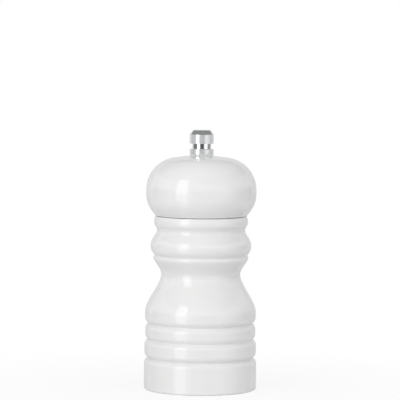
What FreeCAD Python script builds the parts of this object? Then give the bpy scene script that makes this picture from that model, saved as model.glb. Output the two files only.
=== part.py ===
# Pepper mill of turned and lacquered wood: a body, a head that turns on it and a burr mechanism in the foot.
# Millimetres, +Z up. The origin is the centre of the foot, and Z is the axis that everything is turned about.
import FreeCAD, Part
import math
import os

# Body, outside: the height to the parting line, then the heights of its parts. The foot, rings and belly
# are stacked upwards, the collar, beads and throat downwards, and the flank takes up what is left.
body_height = 80.4
base_band_height = 14.7
lower_ring_height = 8.5
upper_ring_height = 7.4
belly_height = 5.4
throat_height = 7.6
small_bead_height = 1.3
bead_lower_height = 4.4
bead_upper_height = 7.1
cove_height = 3.8
collar_height = 2.9

# Body, outside: the foot's diameter, how far in from it the other parts stand, and groove depths
base_diameter = 52.0
lower_ring_inset = 0.15
upper_ring_inset = 0.5
belly_inset = 0.35
waist_inset = 7.75
small_bead_inset = 4.0
bead_inset = 2.7
cove_inset = 5.6
collar_inset = 4.25
rim_inset = 4.7
lower_groove_depth = 1.3
middle_groove_depth = 0.7
upper_groove_depth = 1.1
bead_groove_depth = 0.6

# Edges, and how far each swept curve keeps upright at its two ends, as a share of its height
foot_edge_radius = 0.8
ring_top_edge_height = 2.0
ring_foot_edge_height = 3.2
ring_edge_limit = 0.45
parting_edge_radius = 0.4
mouth_chamfer = 0.8
belly_edge_share = 0.56
flank_shares = (0.29, 0.27)
throat_shares = (0.32, 0.16)
bead_shares = (0.45, 0.28)
cove_shares = (0.40, 0.42)

# Head: how far in from the foot's diameter it stands, and heights stacked upwards from the parting line
head_inset = 0.5
head_rim_inset = 4.6
head_lower_height = 10.4
head_belt_height = 1.6
head_shoulder_radius = 15.0
head_crown_rise = 0.8
head_spigot_length = 9.0
nut_seat_margin = 0.4

# Top nut, a knob turned from one bar, with a blind tapped bore
nut_diameter = 11.2
nut_top_diameter = 8.2
nut_flange_height = 3.3
nut_groove_height = 2.5
nut_groove_depth = 1.2
nut_groove_fillet = 1.0
nut_barrel_height = 4.2
nut_chamfer_height = 2.0
nut_foot_edge = 0.6
nut_cap_thickness = 2.5

# Spindle: a square bar with a round threaded end
spindle_square = 5.0
spindle_corner_radius = 0.3
spindle_foot_recess = 0.4
spindle_thread_length = 12.5
spindle_thread_engagement = 6.5
spindle_end_chamfer = 0.5
thread_pitch = 0.8
adjustment_turns = 1.5

# Hopper and the seats of the mechanism in the foot
hopper_diameter = 24.0
ledge_width = 1.0
recess_depth = 9.0
seat_wood = 0.8

# Female burr
stator_height = 13.0
stator_flange_height = 2.0
stator_flange_width = 1.6
stator_wall = 1.9
stator_mouth_wall = 2.1
stator_band_height = 4.2
stator_fine_teeth = 36
stator_fine_depth = 0.6
stator_coarse_teeth = 12
stator_coarse_depth = 1.0
stator_twist = 8.0
stator_tab_count = 3
stator_tab_width = 4.0

# Male burr
rotor_drop = 0.4
rotor_band_height = 3.4
rotor_cone_height = 8.0
rotor_top_diameter = 12.4
rotor_fine_teeth = 32
rotor_fine_depth = 0.55
rotor_fine_twist = 10.0
rotor_flute_count = 8
rotor_flute_share = 0.2
rotor_flute_twist = 40.0
rotor_flute_sections = 4
rotor_flute_lead = 0.3
tooth_lead = 0.5
burr_taper = 0.3
finest_gap = 0.14

# Retaining plate, bridge and spindle bush
plate_thickness = 1.2
plate_margin = 0.3
plate_opening_clearance = 0.5
bridge_thickness = 1.2
bridge_rise = 9.0
bridge_strap_width = 7.0
bridge_ring_width = 2.7
bridge_hub_margin = 2.0
bridge_bend_radius = 1.0
bridge_wall_gap = 0.8
bush_wall = 1.0
bush_flange_thickness = 1.2
bush_flange_margin = 1.4

# Spring and washers
spring_wire = 1.0
spring_pitch = 2.0
spring_room = 0.9
spring_samples_per_turn = 36
spring_seat_gap = 0.03
spring_washer_thickness = 0.8
spring_washer_margin = 0.5
rotor_washer_thickness = 0.8
rotor_washer_diameter = 9.0

# Drive plate under the head
drive_plate_thickness = 1.5
drive_plate_setback = 1.7

# Screws: head radius, head height, shank radius and shank length
plate_screw = (2.3, 1.7, 1.2, 10.0)
drive_screw = (2.1, 1.4, 1.1, 8.5)
rotor_screw = (2.8, 1.9, 1.45, 9.0)
plate_screw_count = 3
drive_screw_count = 2
screw_dome_share = 0.45
screw_tip_share = 0.25
screw_point_share = 0.35
recess_width_share = 0.32
recess_depth_share = 0.55
recess_reach_share = 0.62

# Fits, radial or per side
spigot_clearance = 0.3
seat_fit = 0.1
bush_fit = 0.05
square_fit = 0.1
thread_fit = 0.08
screw_fit = 0.05
hole_clearance = 0.3

# Levels and radii that follow from the sizes above
axis = FreeCAD.Vector(0, 0, 1)
full_turn = 360
lower_groove_z = base_band_height
middle_groove_z = lower_groove_z + lower_ring_height
upper_groove_z = middle_groove_z + upper_ring_height
belly_z = upper_groove_z + belly_height
parting_z = body_height
collar_z = parting_z - collar_height
cove_z = collar_z - cove_height
bead_z = cove_z - bead_upper_height
bead_groove_z = bead_z - bead_lower_height
small_bead_z = bead_groove_z - small_bead_height
waist_z = small_bead_z - throat_height

base_radius = base_diameter / 2
lower_ring_radius = base_radius - lower_ring_inset
upper_ring_radius = base_radius - upper_ring_inset
belly_radius = base_radius - belly_inset
small_bead_radius = base_radius - small_bead_inset
rim_radius = base_radius - rim_inset
head_radius = base_radius - head_inset
head_rim_radius = base_radius - head_rim_inset

spindle_half = spindle_square / 2
spindle_reach = spindle_half * math.sqrt(2)
spindle_hole_radius = spindle_reach + hole_clearance
adjustment_travel = adjustment_turns * thread_pitch

hopper_radius = hopper_diameter / 2
stator_radius = hopper_radius + ledge_width
stator_flange_radius = stator_radius + stator_flange_width
seat_radius = stator_radius + seat_fit
flange_seat_radius = stator_flange_radius + seat_fit
plate_screw_circle = flange_seat_radius + seat_wood + plate_screw[2]
plate_radius = plate_screw_circle + plate_screw[0] + plate_margin
recess_radius = plate_radius + hole_clearance
outlet_radius = stator_radius - stator_wall
mouth_radius = stator_radius - stator_mouth_wall
throat_radius = outlet_radius - burr_taper * stator_band_height

stator_top_z = recess_depth + stator_height
ledge_z = stator_top_z + bridge_thickness
hub_z = ledge_z + bridge_rise
spring_top_z = hub_z - bush_flange_thickness
rotor_z = recess_depth - rotor_drop
rotor_band_z = rotor_z + rotor_band_height
rotor_top_z = rotor_band_z + rotor_cone_height
washer_top_z = rotor_top_z + spring_washer_thickness
rotor_gap = finest_gap + burr_taper * adjustment_travel
rotor_radius = outlet_radius + burr_taper * rotor_drop - rotor_gap
rotor_band_radius = rotor_radius - burr_taper * rotor_band_height
rotor_top_radius = rotor_top_diameter / 2
spindle_foot_z = rotor_z + spindle_foot_recess
bush_radius = spindle_reach + square_fit + bush_wall

spigot_radius = hopper_radius - spigot_clearance
spigot_z = parting_z - head_spigot_length
drive_plate_radius = spigot_radius - drive_plate_setback
drive_screw_circle = (spindle_hole_radius + drive_plate_radius) / 2
head_belt_z = parting_z + head_lower_height
shoulder_z = head_belt_z + head_belt_height
head_top_z = shoulder_z + head_shoulder_radius + head_crown_rise
shoulder_centre = head_radius - head_shoulder_radius
crown_offset = (shoulder_centre ** 2 + head_crown_rise ** 2) / (2 * head_crown_rise)
crown_radius = head_shoulder_radius + crown_offset
crown_centre_z = head_top_z - crown_radius
nut_radius = nut_diameter / 2
nut_seat_radius = nut_radius + nut_seat_margin
nut_seat_z = crown_centre_z + math.sqrt(crown_radius ** 2 - nut_seat_radius ** 2)
nut_height = nut_flange_height + nut_groove_height + nut_barrel_height + nut_chamfer_height


def at(radius, height):
    return FreeCAD.Vector(radius, 0, height)


def drum(radius, height, bottom):
    return Part.makeCylinder(radius, height, at(0, bottom))


def placed(shape, radius, height, turn=0):
    copy = shape.copy()
    copy.translate(at(radius, height))
    copy.rotate(at(0, 0), axis, turn)
    return copy


def around(shape, count, circle, first_share=0):
    # Copies of a shape on a circle; the first lies a share of their spacing away from the +X side
    return [placed(shape, circle, 0, full_turn * (index + first_share) / count) for index in range(count)]


class Outline:
    # Half of a section in the XZ plane, drawn from point to point and then turned about Z
    def __init__(self, radius, height):
        self.start = (radius, height)
        self.end = self.start
        self.edges = []

    def line(self, radius, height):
        self.edges.append(Part.makeLine(at(*self.end), at(radius, height)))
        self.end = (radius, height)

    def arc(self, centre, radius, height):
        first = at(*self.end) - at(*centre)
        last = at(radius, height) - at(*centre)
        middle = first + last
        middle.normalize()
        middle = at(*centre) + middle * first.Length
        self.edges.append(Part.Arc(at(*self.end), middle, at(radius, height)).toShape())
        self.end = (radius, height)

    def swell(self, radius, height):
        # An arc that arrives upright
        out = radius - self.end[0]
        size = (out ** 2 + (height - self.end[1]) ** 2) / (2 * out)
        self.arc((radius - size, height), radius, height)

    def tuck(self, radius, height):
        # An arc that leaves upright
        inward = self.end[0] - radius
        size = (inward ** 2 + (height - self.end[1]) ** 2) / (2 * inward)
        self.arc((self.end[0] - size, self.end[1]), radius, height)

    def sweep(self, radius, height, shares):
        # A curve that leaves and arrives upright
        rise = height - self.end[1]
        curve = Part.BezierCurve()
        curve.setPoles([
            at(*self.end),
            at(self.end[0], self.end[1] + shares[0] * rise),
            at(radius, height - shares[1] * rise),
            at(radius, height),
        ])
        self.edges.append(curve.toShape())
        self.end = (radius, height)

    def ring(self, radius, top_groove_radius, height):
        # An upright band with rounded edges between two grooves
        limit = (height - self.end[1]) * ring_edge_limit
        self.swell(radius, self.end[1] + min(ring_foot_edge_height, limit))
        self.line(radius, height - min(ring_top_edge_height, limit))
        self.tuck(top_groove_radius, height)

    def turned(self):
        if self.end != self.start:
            self.line(*self.start)
        return Part.Face(Part.Wire(self.edges)).revolve(at(0, 0), axis, full_turn)


def screw(sizes):
    # A pan-head screw pointing up, with a cross recess; the level z = 0 is the seat of its head
    head_size, head_height, shank, length = sizes
    dome = head_height * screw_dome_share
    tip = length * screw_tip_share
    section = Outline(0, -head_height)
    section.line(head_size - dome, -head_height)
    section.arc((head_size - dome, dome - head_height), head_size, dome - head_height)
    section.line(head_size, 0)
    section.line(shank, 0)
    section.line(shank, length - tip)
    section.line(shank * screw_point_share, length)
    section.line(0, length)
    width = head_size * recess_width_share
    reach = 2 * head_size * recess_reach_share
    depth = head_height * recess_depth_share
    slot = Part.makeBox(reach, width, depth, FreeCAD.Vector(-reach / 2, -width / 2, -head_height))
    cross = slot.copy()
    cross.rotate(at(0, 0), axis, full_turn / 4)
    return section.turned().cut([slot, cross])


def square_bar(half, bottom, height):
    corner = FreeCAD.Vector(-half, -half, bottom)
    return Part.makeBox(2 * half, 2 * half, height, corner)


def star(teeth, tip, root, turn, height, lead=tooth_lead):
    # A closed toothed outline; lead is where the root lies between two tips, as a share of a tooth
    points = []
    for index in range(teeth):
        for share, radius in ((0, tip), (lead, root)):
            angle = math.radians(turn) + 2 * math.pi * (index + share) / teeth
            points.append(FreeCAD.Vector(radius * math.cos(angle), radius * math.sin(angle), height))
    return Part.makePolygon(points + points[:1])


def make_body():
    lower_groove = min(base_radius, lower_ring_radius) - lower_groove_depth
    middle_groove = min(lower_ring_radius, upper_ring_radius) - middle_groove_depth
    upper_groove = min(upper_ring_radius, belly_radius) - upper_groove_depth
    belly_edge = belly_height * belly_edge_share
    rim_z = parting_z - parting_edge_radius

    section = Outline(recess_radius, 0)
    section.line(base_radius - foot_edge_radius, 0)
    section.arc((base_radius - foot_edge_radius, foot_edge_radius), base_radius, foot_edge_radius)
    section.line(base_radius, lower_groove_z - ring_top_edge_height)
    section.tuck(lower_groove, lower_groove_z)
    section.ring(lower_ring_radius, middle_groove, middle_groove_z)
    section.ring(upper_ring_radius, upper_groove, upper_groove_z)
    section.swell(belly_radius, upper_groove_z + belly_edge)
    section.line(belly_radius, belly_z)
    section.sweep(base_radius - waist_inset, waist_z, flank_shares)
    section.sweep(small_bead_radius, small_bead_z, throat_shares)
    section.tuck(small_bead_radius - bead_groove_depth, bead_groove_z)
    section.swell(base_radius - bead_inset, bead_z)
    section.sweep(base_radius - cove_inset, cove_z, bead_shares)
    section.sweep(base_radius - collar_inset, collar_z, cove_shares)
    section.tuck(rim_radius, rim_z)
    section.arc((rim_radius - parting_edge_radius, rim_z), rim_radius - parting_edge_radius, parting_z)
    section.line(hopper_radius + mouth_chamfer, parting_z)
    section.line(hopper_radius, parting_z - mouth_chamfer)
    section.line(hopper_radius, ledge_z)
    section.line(seat_radius, ledge_z)
    section.line(seat_radius, recess_depth + stator_flange_height)
    section.line(flange_seat_radius, recess_depth + stator_flange_height)
    section.line(flange_seat_radius, recess_depth)
    section.line(recess_radius, recess_depth)
    length = plate_screw[3]
    pilot = drum(plate_screw[2] + screw_fit, length, recess_depth)
    return section.turned().cut(around(pilot, plate_screw_count, plate_screw_circle))


def make_head():
    rim = head_rim_radius - parting_edge_radius
    rim_z = parting_z + parting_edge_radius
    meeting = crown_radius / crown_offset
    meeting_z = crown_centre_z + meeting * (shoulder_z - crown_centre_z)

    section = Outline(spindle_hole_radius, spigot_z)
    section.line(spigot_radius - mouth_chamfer, spigot_z)
    section.line(spigot_radius, spigot_z + mouth_chamfer)
    section.line(spigot_radius, parting_z)
    section.line(rim, parting_z)
    section.arc((rim, rim_z), head_rim_radius, rim_z)
    section.swell(head_radius, head_belt_z)
    section.line(head_radius, shoulder_z)
    section.arc((shoulder_centre, shoulder_z), meeting * shoulder_centre, meeting_z)
    section.arc((0, crown_centre_z), nut_seat_radius, nut_seat_z)
    section.line(spindle_hole_radius, nut_seat_z)
    length = drive_screw[3]
    pilot = drum(drive_screw[2] + screw_fit, length, spigot_z)
    return section.turned().cut(around(pilot, drive_screw_count, drive_screw_circle))


def make_top_nut():
    bore = spindle_half + thread_fit
    foot = nut_seat_z
    groove_z = foot + nut_flange_height
    barrel_z = groove_z + nut_groove_height
    chamfer_z = barrel_z + nut_barrel_height
    top = foot + nut_height
    neck = nut_radius - nut_groove_depth
    ledge = neck + nut_groove_fillet

    section = Outline(bore, foot)
    section.line(nut_radius - nut_foot_edge, foot)
    section.arc((nut_radius - nut_foot_edge, foot + nut_foot_edge), nut_radius, foot + nut_foot_edge)
    section.line(nut_radius, groove_z)
    section.line(ledge, groove_z)
    section.arc((ledge, groove_z + nut_groove_fillet), neck, groove_z + nut_groove_fillet)
    section.line(neck, barrel_z)
    section.line(nut_radius, barrel_z)
    section.line(nut_radius, chamfer_z)
    section.line(nut_top_diameter / 2, top)
    section.line(0, top)
    section.line(0, top - nut_cap_thickness)
    section.line(bore, top - nut_cap_thickness)
    return section.turned()


def make_spindle():
    top = nut_seat_z + spindle_thread_engagement
    shoulder = top - spindle_thread_length
    bar = square_bar(spindle_half, spindle_foot_z, shoulder - spindle_foot_z)
    corners = [edge for edge in bar.Edges if abs(edge.tangentAt(edge.FirstParameter).z) == 1]
    bar = bar.makeFillet(spindle_corner_radius, corners)
    end = Outline(0, shoulder)
    end.line(spindle_half, shoulder)
    end.line(spindle_half, top - spindle_end_chamfer)
    end.line(spindle_half - spindle_end_chamfer, top)
    end.line(0, top)
    tapped = drum(rotor_screw[2] + screw_fit, rotor_screw[3], spindle_foot_z)
    return bar.fuse(end.turned()).removeSplitter().cut(tapped)


def make_drive_plate():
    bottom = spigot_z - drive_plate_thickness
    plate = drum(drive_plate_radius, drive_plate_thickness, bottom)
    square = square_bar(spindle_half + square_fit, bottom, drive_plate_thickness)
    hole = drum(drive_screw[2] + screw_fit, drive_plate_thickness, bottom)
    return plate.cut([square] + around(hole, drive_screw_count, drive_screw_circle))


def make_drive_plate_screws():
    fastener = placed(screw(drive_screw), 0, spigot_z - drive_plate_thickness)
    return Part.makeCompound(around(fastener, drive_screw_count, drive_screw_circle))


def make_stator():
    flange = drum(stator_flange_radius, stator_flange_height, recess_depth)
    barrel = drum(stator_radius, stator_height, recess_depth)
    throat_z = recess_depth + stator_band_height
    fine = Part.makeLoft([
        star(stator_fine_teeth, outlet_radius, outlet_radius + stator_fine_depth, 0, recess_depth),
        star(stator_fine_teeth, throat_radius, throat_radius + stator_fine_depth, stator_twist, throat_z),
    ], True, True)
    coarse = Part.makeLoft([
        star(stator_coarse_teeth, throat_radius, throat_radius + stator_coarse_depth, 0, throat_z),
        star(stator_coarse_teeth, mouth_radius, mouth_radius + stator_coarse_depth,
             -stator_twist, stator_top_z),
    ], True, True)
    notches = stator_tab_bars(square_fit, stator_flange_width)
    return barrel.fuse(flange).removeSplitter().cut([fine, coarse] + notches)


def stator_tab_bars(clearance, depth):
    # Upright bars beside the barrel, between the screws: the plate's tabs, or with a clearance their notches
    width = stator_tab_width + 2 * clearance
    corner = FreeCAD.Vector(-clearance, -width / 2, recess_depth)
    bar = Part.makeBox(depth + 2 * clearance, width, stator_flange_height, corner)
    return around(bar, stator_tab_count, stator_radius + seat_fit + square_fit, 0.5)


def make_rotor():
    band = Part.makeLoft([
        star(rotor_fine_teeth, rotor_radius, rotor_radius - rotor_fine_depth, 0, rotor_z),
        star(rotor_fine_teeth, rotor_band_radius, rotor_band_radius - rotor_fine_depth,
             rotor_fine_twist, rotor_band_z),
    ], True, True)
    sections = []
    for index in range(rotor_flute_sections + 1):
        share = index / rotor_flute_sections
        tip = rotor_band_radius + (rotor_top_radius - rotor_band_radius) * share
        root = tip * (1 - rotor_flute_share)
        height = rotor_band_z + rotor_cone_height * share
        turn = -rotor_flute_twist * share
        sections.append(star(rotor_flute_count, tip, root, turn, height, rotor_flute_lead))
    cone = Part.makeLoft(sections, True, True)
    hole = square_bar(spindle_half + screw_fit, rotor_z, rotor_top_z - rotor_z)
    return band.fuse(cone).cut(hole)


def make_mechanism_plate():
    bottom = recess_depth - plate_thickness
    plate = drum(plate_radius, plate_thickness, bottom)
    opening = drum(outlet_radius + plate_opening_clearance, plate_thickness, bottom)
    hole = drum(plate_screw[2] + screw_fit, plate_thickness, bottom)
    plate = plate.cut([opening] + around(hole, plate_screw_count, plate_screw_circle))
    return plate.fuse(stator_tab_bars(0, plate_thickness)).removeSplitter()


def make_mechanism_screws():
    fastener = placed(screw(plate_screw), 0, recess_depth - plate_thickness)
    return Part.makeCompound(around(fastener, plate_screw_count, plate_screw_circle))


def arch(half, top, corner):
    # An upright face with a straight foot on the top of the female burr and two rounded upper corners
    left = FreeCAD.Vector(-half, 0, stator_top_z)
    right = at(half, stator_top_z)
    turn = corner * (1 - math.sqrt(0.5))
    edges = [
        Part.makeLine(left, right),
        Part.makeLine(right, at(half, top - corner)),
        Part.Arc(at(half, top - corner), at(half - turn, top - turn), at(half - corner, top)).toShape(),
        Part.makeLine(at(half - corner, top), at(corner - half, top)),
        Part.Arc(at(corner - half, top), at(turn - half, top - turn), at(-half, top - corner)).toShape(),
        Part.makeLine(at(-half, top - corner), left),
    ]
    return Part.Face(Part.Wire(edges))


def make_bridge():
    top = hub_z + bridge_thickness
    outer = hopper_radius - bridge_wall_gap
    outside = arch(outer, top, bridge_bend_radius + bridge_thickness)
    inside = arch(outer - bridge_thickness, hub_z, bridge_bend_radius)
    strap = outside.cut(inside).extrude(FreeCAD.Vector(0, bridge_strap_width, 0))
    strap.translate(FreeCAD.Vector(0, -bridge_strap_width / 2, 0))
    ring = drum(stator_radius, bridge_thickness, stator_top_z)
    ring = ring.cut(drum(stator_radius - bridge_ring_width, bridge_thickness, stator_top_z))
    hub = drum(bush_radius + bridge_hub_margin, bridge_thickness, hub_z)
    eye = drum(bush_radius + bush_fit, bridge_thickness, hub_z)
    return strap.fuse([ring, hub]).removeSplitter().cut(eye)


def make_spindle_bush():
    height = bridge_thickness + bush_flange_thickness
    boss = drum(bush_radius, height, spring_top_z)
    flange = drum(bush_radius + bush_flange_margin, bush_flange_thickness, spring_top_z)
    hole = square_bar(spindle_half + square_fit, spring_top_z, height)
    return boss.fuse(flange).removeSplitter().cut(hole)


def helix_state(radius, pitch, bottom, turns):
    # Point and direction of the wire after a number of turns
    angle = 2 * math.pi * turns
    point = FreeCAD.Vector(radius * math.cos(angle), radius * math.sin(angle), bottom + pitch * turns)
    way = FreeCAD.Vector(-radius * math.sin(angle), radius * math.cos(angle), pitch / (2 * math.pi))
    way.normalize()
    return point, way


def tangent_arc(start, corner, finish):
    # The arc that touches both legs of a corner with equal legs
    leg = (start - corner).Length
    chord_middle = (start + finish) / 2
    height = (chord_middle - corner).Length
    half_chord = (finish - start).Length / 2
    sagitta = half_chord * (leg - half_chord) / height
    return Part.Arc(start, chord_middle + (corner - chord_middle) * (sagitta / height), finish).toShape()


def biarc(first, second):
    # Two arcs that leave the first state and arrive at the second in one smooth line
    span = second[0] - first[0]
    ways = first[1] + second[1]
    bend = 2 - 2 * first[1].dot(second[1])
    along = span.dot(ways)
    leg = (math.sqrt(along ** 2 + bend * span.dot(span)) - along) / bend
    near = first[0] + first[1] * leg
    far = second[0] - second[1] * leg
    joint = (near + far) / 2
    return [tangent_arc(first[0], near, joint), tangent_arc(joint, far, second[0])]


def make_spring():
    wire = spring_wire / 2
    radius = spindle_reach + spring_room + wire
    bottom = washer_top_z + spring_seat_gap + wire
    rise = spring_top_z - spring_seat_gap - wire - bottom
    quarters = max(4, round(4 * rise / spring_pitch))
    pitch = 4 * rise / quarters
    states = [helix_state(radius, pitch, bottom, index / 4) for index in range(quarters + 1)]
    edges = []
    for first, second in zip(states, states[1:]):
        edges += biarc(first, second)
    path = Part.Wire(edges)
    section = Part.Wire(Part.makeCircle(wire, states[0][0], states[0][1]))
    print("spring: least gap between turns", round(turn_gap(edges), 2), "mm")
    return path.makePipeShell([section], True)


def turn_gap(edges):
    # Least distance between points of the wire's line that are half a turn or more apart, less the wire
    points = []
    for edge in edges:
        points += edge.discretize(spring_samples_per_turn // 8 + 1)[:-1]
    apart = spring_samples_per_turn // 2
    near = [(other - point).Length for index, point in enumerate(points) for other in points[index + apart:]]
    return min(near) - spring_wire


def make_washer(radius, hole, bottom, thickness):
    return drum(radius, thickness, bottom).cut(drum(hole, thickness, bottom))


def make_spring_washer():
    radius = spindle_reach + spring_room + spring_wire + spring_washer_margin
    return make_washer(radius, spindle_hole_radius, rotor_top_z, spring_washer_thickness)


def make_rotor_washer():
    hole = rotor_screw[2] + screw_fit
    bottom = rotor_z - rotor_washer_thickness
    return make_washer(rotor_washer_diameter / 2, hole, bottom, rotor_washer_thickness)


def make_rotor_screw():
    return placed(screw(rotor_screw), 0, rotor_z - rotor_washer_thickness)


pieces = {
    "body": make_body(),
    "head": make_head(),
    "top_nut": make_top_nut(),
    "spindle": make_spindle(),
    "drive_plate": make_drive_plate(),
    "drive_plate_screws": make_drive_plate_screws(),
    "stator": make_stator(),
    "rotor": make_rotor(),
    "mechanism_plate": make_mechanism_plate(),
    "mechanism_screws": make_mechanism_screws(),
    "bridge": make_bridge(),
    "spindle_bush": make_spindle_bush(),
    "spring": make_spring(),
    "spring_washer": make_spring_washer(),
    "rotor_washer": make_rotor_washer(),
    "rotor_screw": make_rotor_screw(),
}
os.makedirs("parts", exist_ok=True)
for name, shape in pieces.items():
    shape.exportStep("parts/" + name + ".step")
    box = shape.BoundBox
    print(name, "solids", len(shape.Solids), "valid", shape.isValid(), "volume", round(shape.Volume, 1),
          "z", round(box.ZMin, 2), round(box.ZMax, 2))
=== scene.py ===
import math
import bmesh
import bpy
from mathutils import Matrix, Vector


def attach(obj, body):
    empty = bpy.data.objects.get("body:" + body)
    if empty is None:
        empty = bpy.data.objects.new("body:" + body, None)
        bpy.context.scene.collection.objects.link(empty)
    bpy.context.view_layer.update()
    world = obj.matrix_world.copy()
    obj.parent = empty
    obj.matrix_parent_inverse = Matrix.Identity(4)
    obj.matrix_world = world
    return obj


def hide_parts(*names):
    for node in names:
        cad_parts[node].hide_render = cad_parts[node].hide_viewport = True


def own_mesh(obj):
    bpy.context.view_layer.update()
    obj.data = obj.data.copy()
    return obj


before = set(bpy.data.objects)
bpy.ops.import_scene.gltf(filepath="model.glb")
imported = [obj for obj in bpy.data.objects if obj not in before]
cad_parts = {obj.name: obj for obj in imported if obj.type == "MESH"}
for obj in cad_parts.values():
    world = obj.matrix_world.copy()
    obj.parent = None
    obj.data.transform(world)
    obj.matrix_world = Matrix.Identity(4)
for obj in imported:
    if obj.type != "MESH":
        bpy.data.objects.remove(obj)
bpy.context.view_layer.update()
mm = 0.001
print("frame loaded with", len(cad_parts), "nodes")


def addNode(tree, kind, inputs=None, **options):
    made = tree.nodes.new(kind)
    for key, value in options.items():
        setattr(made, key, value)
    for key, value in (inputs or {}).items():
        if isinstance(value, bpy.types.NodeSocket):
            tree.links.new(value, made.inputs[key])
        else:
            made.inputs[key].default_value = value
    return made


def newFinish(name, shaderValues):
    finish = bpy.data.materials.new(name)
    finish.use_nodes = True
    tree = finish.node_tree
    shader = tree.nodes["Principled BSDF"]
    for key, value in shaderValues.items():
        shader.inputs[key].default_value = value
    place = addNode(tree, "ShaderNodeTexCoord").outputs["Object"]
    return finish, tree, shader, place


def grain(tree, place, scale, detail=3, stretch=(1, 1, 1)):
    mapped = addNode(tree, "ShaderNodeMapping", {"Vector": place, "Scale": stretch}).outputs["Vector"]
    noise = addNode(tree, "ShaderNodeTexNoise", {"Vector": mapped, "Scale": scale, "Detail": detail})
    return noise.outputs["Fac"]


noiseRange = (0.3, 0.7)  # where nearly all of a noise lies


def spread(tree, factor, low, high, fromLow=noiseRange[0], fromHigh=noiseRange[1]):
    return addNode(tree, "ShaderNodeMapRange", {
        "Value": factor, "From Min": fromLow, "From Max": fromHigh,
        "To Min": low, "To Max": high}).outputs["Result"]


def colours(tree, factor, stops):
    ramp = addNode(tree, "ShaderNodeValToRGB", {"Fac": factor})
    points = ramp.color_ramp.elements
    while len(points) < len(stops):
        points.new(0.5)
    for point, (position, colour) in zip(points, stops):
        point.position = position
        point.color = (*colour, 1)
    return ramp.outputs["Color"]


def twoTone(tree, factor, dark, light):
    return colours(tree, factor, list(zip(noiseRange, (dark, light))))


def overlay(tree, factor, under, over):
    return addNode(tree, "ShaderNodeMixRGB", {
        "Fac": factor, "Color1": under, "Color2": over}).outputs["Color"]


def dress(tree, shader, colour, roughness):
    tree.links.new(colour, shader.inputs["Base Color"])
    tree.links.new(roughness, shader.inputs["Roughness"])


def relief(tree, shader, layers):  # layers of (height, depth in mm)
    normal = None
    for height, depth in layers:
        inputs = {"Height": height, "Strength": 1.0, "Distance": depth * mm}
        if normal:
            inputs["Normal"] = normal
        normal = addNode(tree, "ShaderNodeBump", inputs).outputs["Normal"]
    tree.links.new(normal, shader.inputs["Normal"])


# In the looks below, scales are of noises in 1/m and depths of their relief in mm
lacquerLook = {
    "dull": (0.81, 0.81, 0.806), "pale": (0.83, 0.83, 0.828), "cloudScale": 55,
    "roughness": (0.06, 0.10), "sheenScale": 260, "peelScale": 620, "peelDepth": 0.004,
    "fibreScale": 900, "fibreStretch": (1, 1, 0.03), "fibreDepth": 0.002, "ior": 1.5,
}


def whiteLacquer(look):
    finish, tree, shader, place = newFinish("whiteLacquer", {"IOR": look["ior"]})
    cloud = grain(tree, place, look["cloudScale"], 2)
    sheen = grain(tree, place, look["sheenScale"], 4)
    dress(tree, shader, twoTone(tree, cloud, look["dull"], look["pale"]), spread(tree, sheen, *look["roughness"]))
    peel = grain(tree, place, look["peelScale"], 2)
    fibre = grain(tree, place, look["fibreScale"], 3, look["fibreStretch"])  # wood grain, faint under the paint
    relief(tree, shader, [(peel, look["peelDepth"]), (fibre, look["fibreDepth"])])
    return finish


beechLook = {
    "light": (0.62, 0.43, 0.26), "dark": (0.50, 0.32, 0.18), "fleck": (0.34, 0.20, 0.11), "pith": (0.06, 0.02, 0),
    "ringScale": 95, "ringWander": 2.2, "ringDetail": 2, "ringDetailScale": 1.2,
    "ringEnd": 0.85, "ringDepth": 0.02,
    "poreScale": 1500, "poreStretch": (1, 1, 0.06), "poreRange": (0.60, 0.72), "poreDepth": 0.05,
    "roughness": (0.55, 0.75), "ior": 1.4,
}


def bareBeech(look):
    finish, tree, shader, place = newFinish("bareBeech", {"IOR": look["ior"]})
    offCentre = addNode(tree, "ShaderNodeMapping", {
        "Vector": place, "Location": look["pith"]}).outputs["Vector"]
    rings = addNode(tree, "ShaderNodeTexWave", {
        "Vector": offCentre, "Scale": look["ringScale"], "Distortion": look["ringWander"],
        "Detail": look["ringDetail"], "Detail Scale": look["ringDetailScale"]},
        wave_type="RINGS", rings_direction="Z", wave_profile="SAW").outputs["Fac"]
    wood = colours(tree, rings, [(0.0, look["light"]), (look["ringEnd"], look["dark"]), (1.0, look["light"])])
    pores = grain(tree, place, look["poreScale"], 2, look["poreStretch"])
    flecks = spread(tree, pores, 0, 1, *look["poreRange"])
    dress(tree, shader, overlay(tree, flecks, wood, (*look["fleck"], 1)), spread(tree, pores, *look["roughness"]))
    relief(tree, shader, [(pores, look["poreDepth"]), (rings, look["ringDepth"])])
    return finish


patchScale = 140  # cloudy patches of all metals
metalLooks = {  # dark and light colour, low and high roughness, grain scale, stretch and depth
    "knobChrome": ((0.84, 0.85, 0.86), (0.89, 0.90, 0.91), 0.05, 0.10, 1400, (1, 1, 6), 0.002),
    "drawnAluminium": ((0.66, 0.67, 0.68), (0.76, 0.77, 0.78), 0.26, 0.38, 2600, (1, 1, 0.02), 0.010),
    "zincPlate": ((0.52, 0.53, 0.54), (0.66, 0.67, 0.67), 0.28, 0.42, 900, (1, 1, 1), 0.008),
    "screwZinc": ((0.56, 0.56, 0.54), (0.70, 0.69, 0.66), 0.22, 0.36, 1500, (1, 1, 1), 0.006),
    "burrSteel": ((0.20, 0.20, 0.21), (0.34, 0.34, 0.35), 0.30, 0.46, 1200, (1, 1, 5), 0.012),
    "springWire": ((0.46, 0.46, 0.47), (0.62, 0.62, 0.63), 0.20, 0.32, 1800, (1, 1, 4), 0.006),
}


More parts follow.
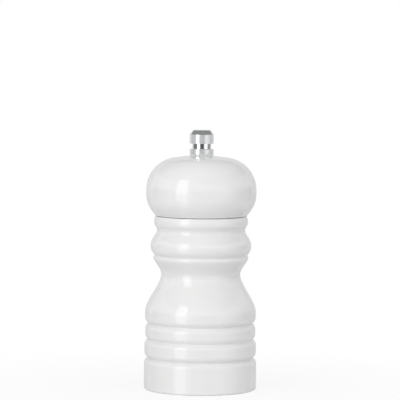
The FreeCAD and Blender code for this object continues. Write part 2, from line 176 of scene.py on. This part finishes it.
def metal(name):
    dark, light, smooth, rough, scale, stretch, depth = metalLooks[name]
    finish, tree, shader, place = newFinish(name, {"Metallic": 1.0})
    marks = grain(tree, place, scale, 4, stretch)
    patches = grain(tree, place, patchScale)
    dress(tree, shader, twoTone(tree, patches, dark, light), spread(tree, marks, smooth, rough))
    relief(tree, shader, [(marks, depth)])
    return finish


turnedLook = {
    "tones": metalLooks["knobChrome"][:2], "roughness": (0.28, 0.38), "anisotropy": 0.95, "quarterTurn": 0.25,
    "lineScale": 3200, "lineStretch": (0.02, 0.02, 1), "lineDepth": 0.003,
}


def turnedChrome(look):  # marks round the knob smear its reflections up and down
    finish, tree, shader, place = newFinish("turnedChrome", {
        "Metallic": 1.0, "Anisotropic": look["anisotropy"], "Anisotropic Rotation": look["quarterTurn"]})
    lines = grain(tree, place, look["lineScale"], 3, look["lineStretch"])
    patches = grain(tree, place, patchScale)
    dress(tree, shader, twoTone(tree, patches, *look["tones"]), spread(tree, lines, *look["roughness"]))
    around = addNode(tree, "ShaderNodeTangent", direction_type="RADIAL", axis="Z").outputs["Tangent"]
    tree.links.new(around, shader.inputs["Tangent"])
    relief(tree, shader, [(lines, look["lineDepth"])])
    return finish


nylonLook = {
    "dark": (0.76, 0.73, 0.65), "light": (0.83, 0.81, 0.74), "cloudScale": 300, "roughness": (0.38, 0.52),
    "fineScale": 2400, "fineDepth": 0.01, "glow": 0.25, "glowReach": (0.0012, 0.0010, 0.0007), "ior": 1.5,
}


def naturalNylon(look):
    finish, tree, shader, place = newFinish("naturalNylon", {
        "Subsurface Weight": look["glow"], "Subsurface Radius": look["glowReach"], "IOR": look["ior"]})
    cloud = grain(tree, place, look["cloudScale"])
    fine = grain(tree, place, look["fineScale"], 2)
    dress(tree, shader, twoTone(tree, cloud, look["dark"], look["light"]), spread(tree, fine, *look["roughness"]))
    relief(tree, shader, [(fine, look["fineDepth"])])
    return finish


lacquer = whiteLacquer(lacquerLook)
beech = bareBeech(beechLook)
metals = {name: metal(name) for name in metalLooks}
metals["turnedChrome"] = turnedChrome(turnedLook)
nylon = naturalNylon(nylonLook)
print("finishes made:", len(bpy.data.materials))


# An outline is half a section in mm: knots with the handles of a Bezier curve, spun about Z
def startAt(radius, height):
    return [{"at": Vector((radius, 0, height)), "soft": False}]


def addKnot(outline, radius, height, leave, arrive, soft=False):
    outline[-1]["after"] = outline[-1]["at"] + leave
    here = Vector((radius, 0, height))
    outline.append({"at": here, "before": here + arrive, "soft": soft})


def lineTo(outline, radius, height):
    step = (Vector((radius, 0, height)) - outline[-1]["at"]) / 3
    addKnot(outline, radius, height, step, -step)


def linesTo(outline, *points):
    for radius, height in points:
        lineTo(outline, radius, height)


def arcTo(outline, radius, height, centreRadius, centreHeight, soft=False):
    centre = Vector((centreRadius, 0, centreHeight))
    first = outline[-1]["at"] - centre
    last = Vector((radius, 0, height)) - centre
    angle = first.angle(last)
    reach = math.tan(angle / 4) * 4 / 3 / math.sin(angle)
    leave = (last - first * math.cos(angle)) * reach
    arrive = (first - last * math.cos(angle)) * reach
    addKnot(outline, radius, height, leave, arrive, soft)


def swellTo(outline, radius, height):  # a round stretch that arrives upright
    last = outline[-1]["at"]
    out = radius - last.x
    size = (out ** 2 + (height - last.z) ** 2) / (2 * out)
    arcTo(outline, radius, height, radius - size, height)


def tuckTo(outline, radius, height, soft=False):  # a round stretch that leaves upright
    last = outline[-1]["at"]
    inward = last.x - radius
    size = (inward ** 2 + (height - last.z) ** 2) / (2 * inward)
    arcTo(outline, radius, height, last.x - size, last.z, soft)


def sweepTo(outline, radius, height, leaveShare, arriveShare):  # a curve that leaves and arrives upright
    rise = Vector((0, 0, height - outline[-1]["at"].z))
    addKnot(outline, radius, height, rise * leaveShare, rise * -arriveShare)


spinning = {"steps": 144, "knotSteps": 10, "softReach": 2, "softRounds": 2, "softShare": 0.5,
            "edgeSegments": 3, "weld": 0.0005}


def spinOutline(bm, outline, finishIndex=0, edges=()):  # edges are (knot number, rounding in mm)
    curve = bpy.data.curves.new("outline", "CURVE")
    curve.dimensions = "3D"
    curve.resolution_u = spinning["knotSteps"]
    spline = curve.splines.new("BEZIER")
    spline.bezier_points.add(len(outline) - 1)
    for knot, point in zip(outline, spline.bezier_points):
        point.handle_left_type = point.handle_right_type = "FREE"
        point.co = knot["at"] * mm
        point.handle_left = knot.get("before", knot["at"]) * mm
        point.handle_right = knot.get("after", knot["at"]) * mm
    holder = bpy.data.objects.new("outline", curve)
    wire = bpy.data.meshes.new_from_object(holder)
    half = bmesh.new()
    half.from_mesh(wire)
    half.verts.ensure_lookup_table()
    reach = spinning["softReach"]
    for number, knot in enumerate(outline):
        if knot["soft"]:  # paint rounds the bottom of a groove
            at = number * spinning["knotSteps"]
            for _ in range(spinning["softRounds"]):
                bmesh.ops.smooth_vert(half, verts=half.verts[at - reach:at + reach + 1],
                                      factor=spinning["softShare"],
                                      use_axis_x=True, use_axis_y=True, use_axis_z=True)
    corners = [(half.verts[number * spinning["knotSteps"]], rounding) for number, rounding in edges]
    for corner, rounding in corners:
        bmesh.ops.bevel(half, geom=[corner], offset=rounding * mm, offset_type="OFFSET",
                        segments=spinning["edgeSegments"], profile=0.5,
                        affect="VERTICES", clamp_overlap=True, material=-1)
    bmesh.ops.spin(half, geom=half.verts[:] + half.edges[:], cent=(0, 0, 0), axis=(0, 0, 1),
                   angle=2 * math.pi, steps=spinning["steps"], use_merge=True)
    for face in half.faces:
        face.material_index = finishIndex
    half.to_mesh(wire)
    half.free()
    bm.from_mesh(wire)
    bpy.data.objects.remove(holder)
    bpy.data.curves.remove(curve)
    bpy.data.meshes.remove(wire)


def finishPiece(bm, name, finishes, body, node, sharpAngle=35):
    bmesh.ops.remove_doubles(bm, verts=bm.verts, dist=spinning["weld"] * mm)
    bmesh.ops.recalc_face_normals(bm, faces=bm.faces)
    mesh = bpy.data.meshes.new(name)
    bm.to_mesh(mesh)
    bm.free()
    for finish in finishes:
        mesh.materials.append(finish)
    mesh.shade_smooth()
    mesh.set_sharp_from_angle(angle=math.radians(sharpAngle))
    piece = bpy.data.objects.new(name, mesh)
    bpy.context.scene.collection.objects.link(piece)
    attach(piece, body)
    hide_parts(node)
    print(name, "has", len(mesh.polygons), "faces")
    return piece


bodyTurning = {  # radius and height in mm
    "foot": 26.0, "footEdge": 0.8, "ringTopEdge": 2.7, "ringFootEdge": 2.7,
    "parting": 80.4, "mouthChamfer": 0.8,
    "lowerGroove": (24.1, 14.7), "lowerRing": 25.85, "middleGroove": (24.4, 23.2), "upperRing": 25.5,
    "upperGroove": (24.1, 30.6), "belly": 25.65, "bellyFrom": 33.624, "bellyTo": 36.0,
    "waist": (18.25, 53.3, 0.29, 0.27), "smallBead": (22.0, 60.9, 0.32, 0.16), "beadGroove": (21.4, 62.2),
    "bead": (23.3, 66.6), "cove": (20.4, 73.7, 0.45, 0.28), "collar": (21.75, 77.5, 0.40, 0.42),
    "rim": 21.3, "rimEdge": 0.4, "slot": 0.12, "slotDepth": 3.0, "landGap": 0.02,
    "hopper": 12.0, "ledge": 23.2, "seat": 13.1, "flangeSeat": (14.7, 11.0), "recess": (19.6, 9.0),
}


def makeBody(sizes):
    foot, edge, topEdge, parting = sizes["foot"], sizes["footEdge"], sizes["ringTopEdge"], sizes["parting"]
    recess, recessDepth = sizes["recess"]
    outside = startAt(recess, 0)
    lineTo(outside, foot - edge, 0)
    arcTo(outside, foot, edge, foot - edge, edge)
    lineTo(outside, foot, sizes["lowerGroove"][1] - topEdge)
    tuckTo(outside, *sizes["lowerGroove"], soft=True)
    for ring, groove in (("lowerRing", "middleGroove"), ("upperRing", "upperGroove")):
        swellTo(outside, sizes[ring], outside[-1]["at"].z + sizes["ringFootEdge"])
        lineTo(outside, sizes[ring], sizes[groove][1] - topEdge)
        tuckTo(outside, *sizes[groove], soft=True)
    swellTo(outside, sizes["belly"], sizes["bellyFrom"])
    lineTo(outside, sizes["belly"], sizes["bellyTo"])
    sweepTo(outside, *sizes["waist"])
    sweepTo(outside, *sizes["smallBead"])
    tuckTo(outside, *sizes["beadGroove"], soft=True)
    swellTo(outside, *sizes["bead"])
    sweepTo(outside, *sizes["cove"])
    sweepTo(outside, *sizes["collar"])
    rim, rimEdge = sizes["rim"], sizes["rimEdge"]
    lip, slotEnd = parting - sizes["slot"], rim - sizes["slotDepth"]  # the joint is a hair open at its edge
    land = parting - sizes["landGap"]
    tuckTo(outside, rim, lip - rimEdge)
    arcTo(outside, rim - rimEdge, lip, rim - rimEdge, lip - rimEdge)
    hopper, chamfer = sizes["hopper"], sizes["mouthChamfer"]
    linesTo(outside, (slotEnd, lip), (slotEnd, land), (hopper + chamfer, land), (hopper, parting - chamfer))
    seat, ledge, (flangeSeat, flangeTop) = sizes["seat"], sizes["ledge"], sizes["flangeSeat"]
    inside = startAt(hopper, parting - chamfer)
    linesTo(inside, (hopper, ledge), (seat, ledge), (seat, flangeTop), (flangeSeat, flangeTop),
            (flangeSeat, recessDepth), (recess, recessDepth), (recess, 0))
    bm = bmesh.new()
    spinOutline(bm, outside, 0)
    spinOutline(bm, inside, 1)
    finishPiece(bm, "turnedBody", [lacquer, beech], "mill_body", "body")


headTurning = {
    "parting": 80.4, "rim": 21.4, "rimEdge": 0.4, "slot": 0.12, "slotDepth": 3.1,
    "belt": 25.5, "beltFrom": 90.8, "beltTo": 92.4,
    "shoulderCentre": (10.5, 92.4), "shoulderEnd": (12.7725, 107.226), "crownCentre": 23.894,
    "seat": (6.0, 107.986), "hole": 3.8355, "spigot": 11.7, "spigotFoot": 71.4, "spigotChamfer": 0.8,
}


def makeHead(sizes):
    parting, rim, edge, spigot = sizes["parting"], sizes["rim"], sizes["rimEdge"], sizes["spigot"]
    outside = startAt(spigot, parting)
    lip, slotEnd = parting + sizes["slot"], rim - sizes["slotDepth"]
    linesTo(outside, (slotEnd, parting), (slotEnd, lip), (rim - edge, lip))
    arcTo(outside, rim, lip + edge, rim - edge, lip + edge)
    swellTo(outside, sizes["belt"], sizes["beltFrom"])
    lineTo(outside, sizes["belt"], sizes["beltTo"])
    arcTo(outside, *sizes["shoulderEnd"], *sizes["shoulderCentre"])
    arcTo(outside, *sizes["seat"], 0, sizes["crownCentre"])
    hole, seatHeight = sizes["hole"], sizes["seat"][1]
    spigotFoot, chamfer = sizes["spigotFoot"], sizes["spigotChamfer"]
    lineTo(outside, hole, seatHeight)
    inside = startAt(hole, seatHeight)
    linesTo(inside, (hole, spigotFoot), (spigot - chamfer, spigotFoot), (spigot, spigotFoot + chamfer),
            (spigot, parting))
    bm = bmesh.new()
    spinOutline(bm, outside, 0)
    spinOutline(bm, inside, 1)
    finishPiece(bm, "turnedHead", [lacquer, beech], "mill_head", "head")


knobTurning = {
    "radius": 5.6, "foot": 107.986, "bevel": (5.3, 109.1),
    "neck": 4.4, "neckFillet": 0.15, "neckFrom": 111.286, "neckTo": 113.786,
    "barrelTo": 117.986, "topRadius": 4.1, "top": 119.986, "bore": 2.58, "boreTop": 117.486,
    "edge": 0.12, "edgeKnots": (5, 9, 10, 11),
}


def makeKnob(sizes):
    radius, foot, bore, boreTop = sizes["radius"], sizes["foot"], sizes["bore"], sizes["boreTop"]
    bevelRadius, bevelTop = sizes["bevel"]
    barrelTo, topRadius, top = sizes["barrelTo"], sizes["topRadius"], sizes["top"]
    neck, neckFrom, neckTo, fillet = sizes["neck"], sizes["neckFrom"], sizes["neckTo"], sizes["neckFillet"]
    outline = startAt(0, boreTop)
    linesTo(outline, (bore, boreTop), (bore, foot), (bevelRadius, foot), (radius, bevelTop), (radius, neckFrom),
            (neck + fillet, neckFrom))
    arcTo(outline, neck, neckFrom + fillet, neck + fillet, neckFrom + fillet)
    linesTo(outline, (neck, neckTo), (radius, neckTo), (radius, barrelTo), (topRadius, top), (0, top))
    bm = bmesh.new()
    spinOutline(bm, outline, 0, [(knot, sizes["edge"]) for knot in sizes["edgeKnots"]])
    for face in bm.faces:  # the flange and barrel keep their turning marks, the rest is polished
        height = face.calc_center_median().z / mm
        if height < bevelTop or neckFrom < height < neckTo or height > barrelTo:
            face.material_index = 1
    finishPiece(bm, "turnedKnob", [metals["turnedChrome"], metals["knobChrome"]], "knob", "top_nut")


spindleBar = {  # the thread's ridge starts, has its crest and ends at shares of the pitch
    "square": 5.0, "corner": 0.3, "cornerSegments": 4, "foot": 9.0, "shoulder": 101.986, "top": 114.486,
    "core": 2.02, "crest": 2.5, "crestFrom": 0.42, "crestTo": 0.55, "ridgeEnd": 0.97, "pitch": 0.8,
    "relief": 1.0, "endChamfer": 0.5, "turnSteps": 36, "sharpAngle": 30,
}


def makeSpindle(sizes):
    bm = bmesh.new()
    length = (sizes["shoulder"] - sizes["foot"]) * mm
    middle = Vector((0, 0, (sizes["shoulder"] + sizes["foot"]) / 2 * mm))
    size = sizes["square"] * mm
    place = Matrix.Translation(middle) @ Matrix.Diagonal((size, size, length, 1))
    bmesh.ops.create_cube(bm, size=1, matrix=place)
    uprights = [edge for edge in bm.edges if abs(edge.verts[0].co.z - edge.verts[1].co.z) > length / 2]
    bmesh.ops.bevel(bm, geom=uprights, offset=sizes["corner"] * mm, offset_type="OFFSET",
                    segments=sizes["cornerSegments"], profile=0.5, affect="EDGES", material=-1)
    radius, crest, top = sizes["core"], sizes["crest"], sizes["top"]
    rootHeight = sizes["shoulder"] - sizes["relief"]
    core = startAt(0, rootHeight)
    linesTo(core, (radius, rootHeight), (radius, top), (0, top))
    spinOutline(bm, core)
    pitch, low = sizes["pitch"], sizes["shoulder"] + sizes["relief"]
    turns = math.floor((top - sizes["endChamfer"] - low) / pitch) - 1
    section = ((radius, 0), (crest, sizes["crestFrom"]), (crest, sizes["crestTo"]), (radius, sizes["ridgeEnd"]))
    ridge = [bm.verts.new((away * mm, 0, (low + share * pitch) * mm)) for away, share in section]
    flanks = [bm.edges.new(pair) for pair in zip(ridge, ridge[1:])]
    bm.faces.new(ridge)
    steps = turns * sizes["turnSteps"]
    wound = bmesh.ops.spin(bm, geom=ridge + flanks, cent=(0, 0, 0), axis=(0, 0, 1),
                           angle=2 * math.pi * turns, dvec=(0, 0, pitch * mm / sizes["turnSteps"]), steps=steps)
    bm.faces.new([part for part in wound["geom_last"] if isinstance(part, bmesh.types.BMVert)])
    finishPiece(bm, "spindleBar", [metals["drawnAluminium"]], "spindle_and_rotor", "spindle",
                sizes["sharpAngle"])


springCoil = {
    "wire": 1.0, "radius": 4.9355, "foot": 20.83, "top": 30.97, "closedTurns": 1.0, "closedPitch": 1.04,
    "openTurns": 3.0, "groundShare": 0.3, "turnSteps": 48, "wireSides": 16, "adjustment": 1.2,
}


def closeHoles(bm):
    bmesh.ops.holes_fill(bm, edges=[edge for edge in bm.edges if edge.is_boundary], sides=0)


def makeSpring(sizes):
    bm = bmesh.new()
    wire, closedTurns = sizes["wire"], sizes["closedTurns"]
    start = sizes["foot"] + wire * (0.5 - sizes["groundShare"])
    closedRise = closedTurns * wire * sizes["closedPitch"]
    openRise = sizes["top"] - sizes["foot"] - wire * (1 - 2 * sizes["groundShare"]) - 2 * closedRise
    tip = Matrix.Translation((sizes["radius"] * mm, 0, start * mm)) @ Matrix.Rotation(math.pi / 2, 4, "X")
    ring = bmesh.ops.create_circle(bm, segments=sizes["wireSides"], radius=wire / 2 * mm, matrix=tip)
    grown = ring["verts"] + bm.edges[:]
    closedEnd = (closedTurns, closedRise)
    for turns, rise in (closedEnd, (sizes["openTurns"], openRise), closedEnd):
        count = round(turns * sizes["turnSteps"])
        wound = bmesh.ops.spin(bm, geom=grown, cent=(0, 0, 0), axis=(0, 0, 1), angle=2 * math.pi * turns,
                               dvec=(0, 0, rise * mm / count), steps=count)
        grown = wound["geom_last"]
    closeHoles(bm)
    for level, way in ((sizes["foot"], -1), (sizes["top"], 1)):  # ends ground flat
        bmesh.ops.bisect_plane(bm, geom=bm.verts[:] + bm.edges[:] + bm.faces[:], plane_co=(0, 0, level * mm),
                               plane_no=(0, 0, way), clear_outer=True)
        closeHoles(bm)
    spring = finishPiece(bm, "coilSpring", [metals["springWire"]], "bush", "spring")
    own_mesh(spring)


makeBody(bodyTurning)
makeHead(headTurning)
makeKnob(knobTurning)
makeSpindle(spindleBar)
makeSpring(springCoil)

nodeFinishes = {
    metals["zincPlate"]: ("drive_plate", "mechanism_plate", "bridge", "spring_washer", "rotor_washer"),
    metals["screwZinc"]: ("drive_plate_screws", "mechanism_screws", "rotor_screw"),
    metals["burrSteel"]: ("stator", "rotor"),
    nylon: ("spindle_bush",),
}
for nodeFinish, nodeNames in nodeFinishes.items():
    for nodeName in nodeNames:
        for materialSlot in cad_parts[nodeName].material_slots:
            materialSlot.material = nodeFinish
print("CAD nodes finished:", sum(map(len, nodeFinishes.values())))

studio = {  # the floor lies a hair under the foot, keeps a share of the shadow and mirrors only in the gloss
    "floor": 4.0, "under": 0.05, "matt": 0.85, "shadowShare": 0.14, "whiteFrom": 0.03, "whiteTo": 0.16,
    "mirror": 0.75, "polish": 0.08,
    "ambient": 0.60, "fromFront": 0.48, "fromRight": 0.09, "fromAbove": 0.10,
}


def calculate(tree, operation, first, second):
    return addNode(tree, "ShaderNodeMath", {0: first, 1: second}, operation=operation).outputs[0]


def seenDirectly(tree):
    path = addNode(tree, "ShaderNodeLightPath").outputs
    either = calculate(tree, "MAXIMUM", path["Is Camera Ray"], path["Is Glossy Ray"])
    return calculate(tree, "MAXIMUM", either, path["Is Transmission Ray"])


def addSheet(name, size):
    bm = bmesh.new()
    bmesh.ops.create_grid(bm, x_segments=1, y_segments=1, size=0.5, matrix=Matrix.Diagonal((*size, 1, 1)))
    mesh = bpy.data.meshes.new(name)
    bm.to_mesh(mesh)
    bm.free()
    sheet = bpy.data.objects.new(name, mesh)
    bpy.context.scene.collection.objects.link(sheet)
    return sheet


def stageFinish(name):
    finish = bpy.data.materials.new(name)
    finish.use_nodes = True
    finish.node_tree.nodes.clear()
    return finish, finish.node_tree


def makeFloor(sizes):
    paper, tree = stageFinish("paleFloor")
    white = addNode(tree, "ShaderNodeEmission", {"Color": (1, 1, 1, 1), "Strength": 1.0}).outputs[0]
    matt = addNode(tree, "ShaderNodeBsdfDiffuse", {"Color": (*[sizes["matt"]] * 3, 1)}).outputs[0]
    place = addNode(tree, "ShaderNodeTexCoord").outputs["Object"]
    away = addNode(tree, "ShaderNodeVectorMath", {0: place}, operation="LENGTH").outputs["Value"]
    share = spread(tree, away, 1 - sizes["shadowShare"], 1, sizes["whiteFrom"], sizes["whiteTo"])
    share = calculate(tree, "MULTIPLY", seenDirectly(tree), share)
    mixed = addNode(tree, "ShaderNodeMixShader", {0: share, 1: matt, 2: white}).outputs[0]
    gloss = addNode(tree, "ShaderNodeBsdfGlossy", {"Roughness": sizes["polish"]}).outputs[0]
    glossy = addNode(tree, "ShaderNodeLightPath").outputs["Is Glossy Ray"]
    mirrored = calculate(tree, "MULTIPLY", glossy, sizes["mirror"])
    mixed = addNode(tree, "ShaderNodeMixShader", {0: mirrored, 1: mixed, 2: gloss}).outputs[0]
    addNode(tree, "ShaderNodeOutputMaterial", {"Surface": mixed})
    floor = addSheet("floor", (sizes["floor"], sizes["floor"]))
    floor.data.materials.append(paper)
    floor.location.z = -sizes["under"] * mm


def makeWorld(sizes):  # white to the eye; as light, brighter from the front, the right and above
    world = bpy.data.worlds.new("studio")
    bpy.context.scene.world = world
    world.use_nodes = True
    tree = world.node_tree
    way = addNode(tree, "ShaderNodeTexCoord").outputs["Generated"]
    brightSide = (sizes["fromRight"], -sizes["fromFront"], sizes["fromAbove"])
    tilt = addNode(tree, "ShaderNodeVectorMath", {0: way, 1: brightSide}, operation="DOT_PRODUCT").outputs["Value"]
    soft = calculate(tree, "ADD", tilt, sizes["ambient"])
    level = spread(tree, seenDirectly(tree), soft, 1, 0, 1)
    background = tree.nodes["Background"]
    background.inputs["Color"].default_value = (1, 1, 1, 1)
    tree.links.new(level, background.inputs["Strength"])


def standing(azimuth, distance, height):  # a place on a circle round the mill, facing it
    turn = math.radians(azimuth)
    spot = Vector((distance * math.sin(turn), -distance * math.cos(turn), height))
    facing = Vector((-spot.x, -spot.y, 0)).to_track_quat("-Z", "Y")
    return Matrix.Translation(spot) @ facing.to_matrix().to_4x4()


# Lamps and cards stand at an azimuth to the right of the camera; distance, height of the middle, width and
# height are in metres. The back lamp only brightens the far side, so gloss does not see it.
lamps = {  # azimuth, distance, middle, width, height, brightness, whether gloss sees it
    "stripLamp": (-41, 1.0, 0.47, 0.42, 0.90, 2.65, True),
    "fillLamp": (47, 1.0, 0.47, 0.36, 0.90, 0.3, True),
    "backLamp": (180, 1.2, 0.20, 0.90, 0.36, 3.0, False),
}


def makeLamp(name, azimuth, distance, height, width, tall, brightness, inGloss):
    light = bpy.data.lights.new(name, "AREA")
    light.shape = "RECTANGLE"
    light.size, light.size_y = width, tall
    light.energy = brightness * math.pi * width * tall
    lamp = bpy.data.objects.new(name, light)
    lamp.matrix_world = standing(azimuth, distance, height)
    lamp.visible_glossy = inGloss
    bpy.context.scene.collection.objects.link(lamp)


cards = {  # only gloss sees them: azimuth, distance, middle, width, height, grey
    "cameraCard": (5, 1.1, 0.10, 0.90, 0.18, 0.10),
    "leftCard": (-88, 1.1, 0.10, 1.35, 0.18, 0.20),
    "rightCard": (104, 1.1, 0.10, 1.05, 0.18, 0.30),
    "backCard": (180, 1.6, 0.5, 3.2, 0.98, 0.80),
}
ceilingCard = {"size": (3.0, 3.0), "height": 1.0, "grey": 0.28}


def greyCard(name, size, place, grey):
    card = addSheet(name, size)
    finish, tree = stageFinish(name)
    glow = addNode(tree, "ShaderNodeEmission", {"Color": (grey, grey, grey, 1), "Strength": 1.0}).outputs[0]
    addNode(tree, "ShaderNodeOutputMaterial", {"Surface": glow})
    card.data.materials.append(finish)
    card.matrix_world = place
    card.visible_camera = card.visible_diffuse = card.visible_shadow = card.visible_transmission = False


viewpoint = {"distance": 1.25, "height": 0.17, "aside": -0.0006, "pitch": 3.77, "roll": 0.44,
             "lens": 244.0, "sensor": 36}


def makeCamera(sizes):
    camera = bpy.data.cameras.new("camera")
    camera.sensor_width = sizes["sensor"]
    camera.lens = sizes["lens"]
    holder = bpy.data.objects.new("camera", camera)
    holder.matrix_world = (Matrix.Translation((sizes["aside"], -sizes["distance"], sizes["height"]))
                           @ Matrix.Rotation(math.radians(90 - sizes["pitch"]), 4, "X")
                           @ Matrix.Rotation(math.radians(sizes["roll"]), 4, "Z"))
    bpy.context.scene.collection.objects.link(holder)
    bpy.context.scene.camera = holder


makeFloor(studio)
makeWorld(studio)
for lampName, lampPlace in lamps.items():
    makeLamp(lampName, *lampPlace)
for cardName, (azimuth, distance, height, width, tall, grey) in cards.items():
    greyCard(cardName, (width, tall), standing(azimuth, distance, height), grey)
overhead = Matrix.Translation((0, 0, ceilingCard["height"]))
greyCard("ceilingCard", ceilingCard["size"], overhead, ceilingCard["grey"])
makeCamera(viewpoint)
bpy.context.scene.view_settings.view_transform = "Standard"
print("studio ready")
